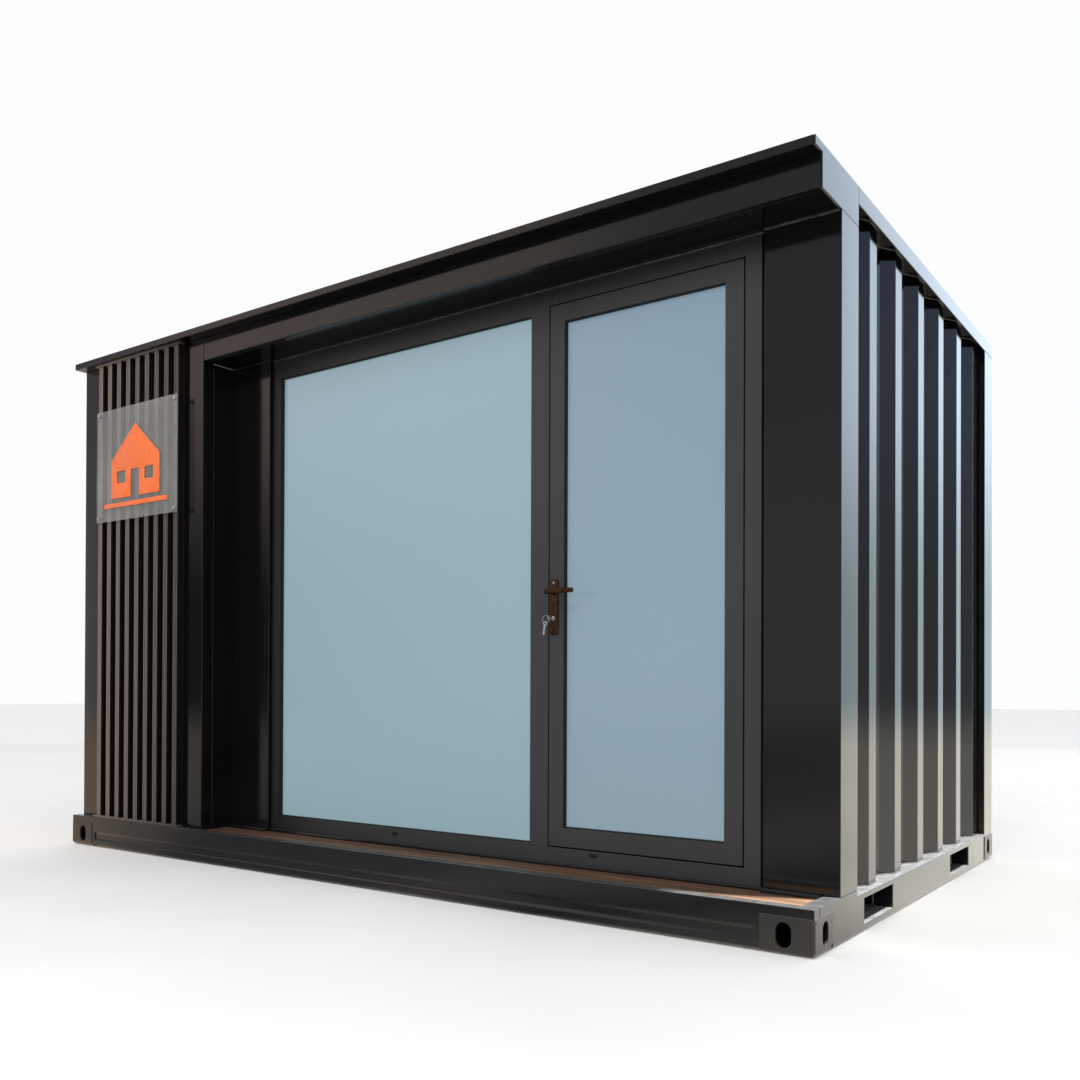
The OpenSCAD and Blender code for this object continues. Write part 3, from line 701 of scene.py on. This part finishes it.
# Painted shade: the slats' sides and groove walls take the near-black backing colour in place of the
# shade in the gaps and grooves.
slat.data.materials.append(slat_material)
slat.data.materials.append(backing_and_slat_shade)
for face in slat.data.polygons:
    face.material_index = 0 if face.normal.y < -0.3 else 1
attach(slat, "cabin")
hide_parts("bay_slats")
back = block("slat_backing", (slats_low.x, slats_high.y - backing_t, slats_low.z),
             (slats_high.x - 0.003, slats_high.y, slats_high.z))
soften(back, 0.001)
fit(back, "cabin", "slats", backing_and_slat_shade)

# ---------------------------------------------------------------------------------------
# Sign: a clear acrylic plate on four satin steel stand-offs, with a plain orange gable
# house cut from sheet and stuck to its face.
plate_material, shader, add, fill = start_material("clear_acrylic")
coords = object_coords(add)
smears = add("TexNoise", {"Vector": coords, "Scale": 7.0, "Detail": 5.0})
fill(shader, {"Base Color": ramp(add, smears.outputs["Fac"], (0.3, (0.36, 0.36, 0.36)),
                                 (0.7, (0.46, 0.46, 0.45))),
              "Roughness": 0.04, "Alpha": 0.22})
sign_low, sign_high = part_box("sign_plate")
sign_t = 0.005
plate = block("sign_sheet", sign_low, (sign_high.x, sign_low.y + sign_t, sign_high.z))
soften(plate, 0.0015, 3)
fit(plate, "cabin", "clear_plate", plate_material, "sign_plate")

satin_steel, shader, add, fill = start_material("satin_nickel")
coords = object_coords(add)
brushed = add("TexNoise", {"Vector": coords, "Scale": 500.0, "Detail": 2.0})
fill(shader, {"Base Color": ramp(add, brushed.outputs["Fac"], (0.3, (0.56, 0.54, 0.52)),
                                 (0.7, (0.70, 0.68, 0.65))),
              "Metallic": 1.0,
              "Roughness": add("MapRange", {"Value": brushed.outputs["Fac"], "To Min": 0.22,
                                            "To Max": 0.38}).outputs["Result"]})


def turned(name, radius, start, end, edge, sides=32):
    """A round bar along Y from start to end with its rims eased."""
    bpy.ops.object.select_all(action="DESELECT")
    bpy.ops.mesh.primitive_cylinder_add(vertices=sides, radius=radius, depth=end[1] - start[1],
                                        rotation=(math.pi / 2, 0.0, 0.0),
                                        location=(Vector(start) + Vector(end)) / 2)
    bpy.context.object.name = name
    bpy.ops.object.transform_apply(location=True, rotation=True, scale=True)
    soften(bpy.context.object, edge, 2)
    return bpy.context.object


standoffs = []
inset, barrel_r, cap_r, cap_t = 0.020, 0.008, 0.010, 0.005
for x in (sign_low.x + inset, sign_high.x - inset):
    for z in (sign_low.z + inset, sign_high.z - inset):
        standoffs.append(turned("barrel", barrel_r, (x, sign_low.y + sign_t, z), (x, slat_y0, z),
                                0.001))
        standoffs.append(turned("cap", cap_r, (x, sign_low.y - cap_t, z), (x, sign_low.y, z),
                                0.0018))
fit(join("sign_standoffs", standoffs), "cabin", "nickel", satin_steel)

orange, shader, add, fill = start_material("orange_sheet")
coords = object_coords(add)
film = add("TexNoise", {"Vector": coords, "Scale": 30.0, "Detail": 4.0})
fill(shader, {"Base Color": ramp(add, film.outputs["Fac"], (0.3, (0.72, 0.125, 0.022)),
                                 (0.7, (0.80, 0.155, 0.032))), "Roughness": 0.4})
centre_x = (sign_low.x + sign_high.x) / 2
house_w, wall_h, gable_h, sheet_t = 0.40, 0.19, 0.17, 0.003
opening_half, opening_top, pane_x, pane_foot = 0.035, 0.135, 0.115, 0.075
line_half, line_foot, line_top = 0.26, 0.045, 0.022
past = 0.01
house_z = sign_low.z + 0.11
house_y0, house_y1 = sign_low.y - sheet_t, sign_low.y
house = block("sign_house", (centre_x - house_w / 2, house_y0, house_z),
              (centre_x + house_w / 2, house_y1, house_z + wall_h))
cut_across(house, [centre_x], 0)
for vertex in house.data.vertices:
    if abs(vertex.co.x - centre_x) < 0.001 and vertex.co.z > house_z + wall_h / 2:
        vertex.co.z += gable_h


def cut_out(piece, low, high):
    """Cuts a box out of a piece."""
    cutter = block("cutter", low, high)
    apply(piece, "BOOLEAN", object=cutter, operation="DIFFERENCE", solver="EXACT")
    bpy.data.objects.remove(cutter)


cut_out(house, (centre_x - opening_half, house_y0 - past, house_z - past),
        (centre_x + opening_half, house_y1 + past, house_z + opening_top))
for side in (-1, 1):
    pane = centre_x + side * pane_x
    cut_out(house, (pane - opening_half, house_y0 - past, house_z + pane_foot),
            (pane + opening_half, house_y1 + past, house_z + opening_top))
soften(house, 0.0008)
ground_line = block("ground_line", (centre_x - line_half, house_y0, house_z - line_foot),
                    (centre_x + line_half, house_y1, house_z - line_top))
soften(ground_line, 0.0008)
fit(join("sign_house", [house, ground_line]), "cabin", "clear_plate", orange)

# ---------------------------------------------------------------------------------------
# Window and door frame: hollow aluminium bars in satin charcoal powder coat, screwed into
# the opening.
powder_coat, shader, add, fill = start_material("satin_powder_coat")
coords, axes = object_axes(add)
cloud = add("TexNoise", {"Vector": coords, "Scale": 1.3, "Detail": 3.0})
grit = add("TexNoise", {"Vector": coords, "Scale": 420.0, "Detail": 3.0})
# Painted shade: the coat goes towards near-black at the left end (X below -0.3) and along the head
# under the canopy (Z above 2.29).
left_end_painted_shade = add("MapRange", {"Value": axes["X"], "From Min": -0.7, "From Max": -0.3,
                            "To Min": 0.75, "To Max": 0.0})
head_painted_shade = add("MapRange", {"Value": axes["Z"], "From Min": 2.29, "From Max": 2.34,
                           "To Min": 0.0, "To Max": 0.65})
frame_painted_shade = add("Math", {0: left_end_painted_shade.outputs["Result"], 1: head_painted_shade.outputs["Result"]},
             operation="MAXIMUM")
coat = ramp(add, cloud.outputs["Fac"], (0.3, (0.028, 0.028, 0.030)), (0.7, (0.035, 0.034, 0.036)))
fill(shader, {"Base Color": mixed(add, frame_painted_shade.outputs["Value"], coat, (0.004, 0.004, 0.004, 1.0)),
              "Roughness": add("MapRange", {"Value": grit.outputs["Fac"], "To Min": 0.38,
                                            "To Max": 0.52}).outputs["Result"],
              "Specular IOR Level": 0.35,
              "Normal": add("Bump", {"Height": grit.outputs["Fac"], "Strength": 0.12,
                                     "Distance": 0.0003}).outputs["Normal"]})
dress(["frame_left_jamb", "frame_head", "frame_sill", "frame_mullion", "frame_right_jamb"],
      powder_coat, 0.0015)

# ---------------------------------------------------------------------------------------
# Glazing: sealed units of reflective grey-blue glass, each bedded in a black rubber
# gasket that shows as a thin dark line all round.


def reflective_glass(name, low, high, z0, z1):
    """Coated glass: a pale grey-blue film under a clear mirror-smooth face. The film glows as a
    painted reflection of daylight, and its tone shifts with height as painted reflection.
    """
    material, shader, add, fill = start_material(name)
    coords, axes = object_axes(add)
    rise = add("MapRange", {"Value": axes["Z"], "From Min": z0, "From Max": z1})
    clouds = add("TexNoise", {"Vector": coords, "Scale": 0.9, "Detail": 3.0})
    drift = add("Mix", {0: 0.3, 2: rise.outputs["Result"], 3: clouds.outputs["Fac"]},
                data_type="FLOAT")
    film = ramp(add, drift.outputs[0], (0.1, low), (0.9, high))
    # Painted light: the film colour also glows (emission 0.56) in place of reflected daylight.
    fill(shader, {"Base Color": mixed(add, 0.64, film, (0.0, 0.0, 0.0, 1.0)),
                  "Emission Color": film, "Emission Strength": 0.56,
                  "Roughness": 0.03, "Specular IOR Level": 0.4})
    return material


glass_z0, glass_z1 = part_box("window_glass")[0].z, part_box("window_glass")[1].z
dress(["window_glass"], reflective_glass("window_film_and_glow", (0.285, 0.420, 0.470),
                                         (0.290, 0.420, 0.475), glass_z0, glass_z1), 0.001)
dress(["door_glass"], reflective_glass("door_film_and_glow", (0.270, 0.375, 0.445),
                                       (0.225, 0.325, 0.415), glass_z0, glass_z1), 0.001)

rubber, shader, add, fill = start_material("black_rubber")
coords = object_coords(add)
bloom = add("TexNoise", {"Vector": coords, "Scale": 90.0, "Detail": 4.0})
fill(shader, {"Base Color": ramp(add, bloom.outputs["Fac"], (0.3, (0.006, 0.006, 0.006)),
                                 (0.7, (0.014, 0.014, 0.013))),
              "Roughness": 0.7, "Specular IOR Level": 0.3})


def frame_ring(name, low, high, width, edge):
    """A four-sided strip round an opening, from a plate whose middle is taken out."""
    ring = block(name, low, high)
    pick_faces(ring, lambda centre, normal: abs(normal.y) > 0.9)
    bpy.ops.mesh.inset(thickness=width, use_even_offset=True)
    bpy.ops.mesh.bridge_edge_loops()
    bpy.ops.object.mode_set(mode="OBJECT")
    soften(ring, edge)
    return ring


outer_depth, outer_w, inner_depth, inner_w = 0.017, 0.003, 0.006, 0.007
for glass, body in (("window_glass", "cabin"), ("door_glass", "door")):
    low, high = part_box(glass)
    gasket = frame_ring(glass + "_gasket", (low.x, low.y - outer_depth, low.z),
                        (high.x, low.y, high.z), outer_w, 0.001)
    inner = frame_ring(glass + "_inner_gasket", (low.x, high.y, low.z),
                       (high.x, high.y + inner_depth, high.z), inner_w, 0.002)
    fit(join(glass + "_gaskets", [gasket, inner]), body, "joinery", rubber)

# ---------------------------------------------------------------------------------------
# Frame trim: two plastic weep caps on the sill, and the low steel angle that closes the
# joint between the deck and the front wall.
caps = []
cap_half, cap_t, cap_foot, cap_top = 0.016, 0.005, 0.187, 0.199
for x in (0.046, 1.05):
    cap = block("cap", (x - cap_half, frame_y - cap_t, cap_foot), (x + cap_half, frame_y, cap_top))
    soften(cap, 0.0035, 3)
    caps.append(cap)
fit(join("weep_caps", caps), "cabin", "joinery", rubber)

deck_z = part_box("porch_deck")[1].z
angles = []
angle_w, angle_h, angle_lip = 0.020, 0.012, 0.003
for x0, x1, y1 in ((panel_x0, panel_x1, panel_y), (panel_x1, post_x0, frame_y),
                   (post_x0, post_x1 - 0.06, panel_y)):
    angle = block("angle", (x0, y1 - angle_w, deck_z), (x1, y1, deck_z + angle_h))
    pick_faces(angle, lambda centre, normal: normal.z > 0.9)
    bpy.ops.mesh.inset(thickness=angle_lip)
    bpy.ops.transform.translate(value=(0.0, 0.0, -angle_lip))
    bpy.ops.object.mode_set(mode="OBJECT")
    soften(angle, 0.0012)
    angles.append(angle)
fit(join("deck_angle", angles), "cabin", "steel", gloss_paint)

# ---------------------------------------------------------------------------------------
# Door leaf: the same hollow aluminium bars and powder coat as the frame, joined at the
# corners, and hung on three hinges inside the room.
dress(["door_leaf"], powder_coat, 0.0015)

# ---------------------------------------------------------------------------------------
# Door furniture: long plates in dark bronze, one on each face of the leaf. The screw near
# the top of each is nickel as a painted highlight, and the lower screw is bronze like the plate.
bronze, shader, add, fill = start_material("dark_bronze")
coords = object_coords(add)
patina = add("TexNoise", {"Vector": coords, "Scale": 45.0, "Detail": 5.0})
fill(shader, {"Base Color": ramp(add, patina.outputs["Fac"], (0.3, (0.055, 0.027, 0.012)),
                                 (0.7, (0.115, 0.060, 0.029))),
              "Metallic": 1.0,
              "Roughness": add("MapRange", {"Value": patina.outputs["Fac"], "To Min": 0.24,
                                            "To Max": 0.42}).outputs["Result"]})
plates_low, plates_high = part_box("door_escutcheons")
lever_low, lever_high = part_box("lever_handle")
leaf_y0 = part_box("door_leaf")[0].y
plate_t, screw_inset, screw_r, screw_proud = 0.010, 0.014, 0.0042, 0.0008
flange_y1 = plates_high.y - plate_t
handle_x = (plates_low.x + plates_high.x) / 2
lever_z = (lever_low.z + lever_high.z) / 2
lock_z = lever_z - 0.100
plates, highlight_screws = [], []
for y0, y1 in ((plates_low.y, leaf_y0), (flange_y1, plates_high.y)):
    long_plate = block("long_plate", (plates_low.x, y0, plates_low.z),
                       (plates_high.x, y1, plates_high.z))
    soften(long_plate, 0.004, 4)
    plates.append(long_plate)
    face = y0 if y0 < leaf_y0 else y1
    for z in (plates_low.z + screw_inset, plates_high.z - screw_inset):
        screw = turned("screw", screw_r, (handle_x, face - screw_proud, z),
                       (handle_x, face + screw_proud, z), 0.0004, 20)
        (highlight_screws if z > lever_z else plates).append(screw)
fit(join("long_plates", plates), "door", "bronze", bronze, "door_escutcheons")
# The upper screws are nickel as a painted highlight on the plate tops.
fit(join("plate_screws", highlight_screws), "door", "nickel", satin_steel)

# ---------------------------------------------------------------------------------------
# Levers: a round neck through the long plate and a flat bar with rounded ends, one on
# each face, on one spindle.
arm_t, spindle_r, neck_r = 0.014, 0.004, 0.0095
neck_lap, leaf_gap = 0.004, 0.001
arm_inner, arm_outer = lever_low.y + arm_t, lever_high.y - arm_t
levers = [turned("spindle", spindle_r, (handle_x, arm_inner, lever_z),
                 (handle_x, arm_outer, lever_z), 0.0005, 20)]
for y0, y1, neck_y0, neck_y1 in (
        (lever_low.y, arm_inner, arm_inner - neck_lap, leaf_y0 - leaf_gap),
        (arm_outer, lever_high.y, flange_y1 + leaf_gap, arm_outer + neck_lap)):
    arm = block("arm", (lever_low.x, y0, lever_low.z), (lever_high.x, y1, lever_high.z))
    cut_across(arm, [lever_low.x + 0.030, lever_low.x + 0.075], 0)
    pick_faces(arm, lambda centre, normal: normal.x > 0.9)
    bpy.ops.transform.resize(value=(1.0, 0.8, 0.9))
    bpy.ops.object.mode_set(mode="OBJECT")
    soften(arm, 0.0055, 4)
    neck = turned("neck", neck_r, (handle_x, neck_y0, lever_z), (handle_x, neck_y1, lever_z),
                  0.001)
    levers += [arm, neck]
fit(join("lever_pair", levers), "lever", "bronze", bronze, "lever_handle")

# ---------------------------------------------------------------------------------------
# Lock: a nickel cylinder with a key in it, a split ring through the key's bow and a second
# key that hangs from the ring.
lock_low, lock_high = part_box("door_lock_and_keys")
key_t, cylinder_r, cylinder_proud = 0.0024, 0.0085, 0.003
cylinder_y0 = plates_low.y - cylinder_proud
lock = [turned("cylinder", cylinder_r, (handle_x, cylinder_y0, lock_z),
               (handle_x, plates_high.y + cylinder_proud, lock_z), 0.0008)]


def cut_key(name, bow, turn, bow_r):
    """A flat key: a round bow with a hole, and a notched blade that leaves it along -Y."""
    bpy.ops.object.select_all(action="DESELECT")
    bpy.ops.mesh.primitive_cylinder_add(vertices=28, radius=bow_r, depth=key_t)
    key = bpy.context.object
    pick_faces(key, lambda centre, normal: abs(normal.z) > 0.9)
    bpy.ops.mesh.inset(thickness=bow_r - 0.0035)
    bpy.ops.mesh.bridge_edge_loops()
    bpy.ops.object.mode_set(mode="OBJECT")
    soften(key, 0.0004)
    blade_half, blade_len, blade_lap, notch_half = 0.004, 0.036, 0.002, 0.0018
    blade = block("blade", (-blade_half, -bow_r - blade_len, -key_t / 2),
                  (blade_half, -bow_r + blade_lap, key_t / 2))
    notches = [(0.006, 0.0016), (0.012, 0.0024), (0.018, 0.0012), (0.024, 0.0022)]
    for along, depth in notches:
        place = -bow_r - along
        cut_out(blade, (blade_half - depth, place - notch_half, -0.01),
                (blade_half + 0.002, place + notch_half, 0.01))
    soften(blade, 0.0003)
    key = join(name, [key, blade])
    key.matrix_world = Matrix.Translation(bow) @ turn
    bpy.ops.object.transform_apply(location=True, rotation=True, scale=True)
    return key


bow_in = Vector((handle_x, cylinder_y0 - 0.024, lock_z))
sideways = Matrix.Rotation(math.pi / 2, 4, "Y")
into_lock = sideways @ Matrix.Rotation(math.pi, 4, "Z")
lock.append(cut_key("key_in_lock", bow_in, into_lock, 0.011))
ring_centre = bow_in + Vector((-0.0115, -0.0066, -0.004))
ring_turn = math.radians(30)
bpy.ops.object.select_all(action="DESELECT")
bpy.ops.mesh.primitive_torus_add(major_radius=0.0138, minor_radius=0.0011, major_segments=40,
                                 minor_segments=10, location=ring_centre,
                                 rotation=(math.pi / 2, 0.0, ring_turn))
bpy.ops.object.transform_apply(location=True, rotation=True, scale=True)
bpy.ops.object.shade_smooth()
lock.append(bpy.context.object)
hanging = (Matrix.Rotation(ring_turn, 4, "Z") @ Matrix.Rotation(math.radians(8), 4, "Y")
           @ Matrix.Rotation(math.pi / 2, 4, "X"))
lock.append(cut_key("hanging_key", ring_centre + Vector((-0.0025, -0.0015, -0.0165)), hanging, 0.008))
fit(join("lock_and_keys", lock), "door", "nickel", satin_steel, "door_lock_and_keys")

low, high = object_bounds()
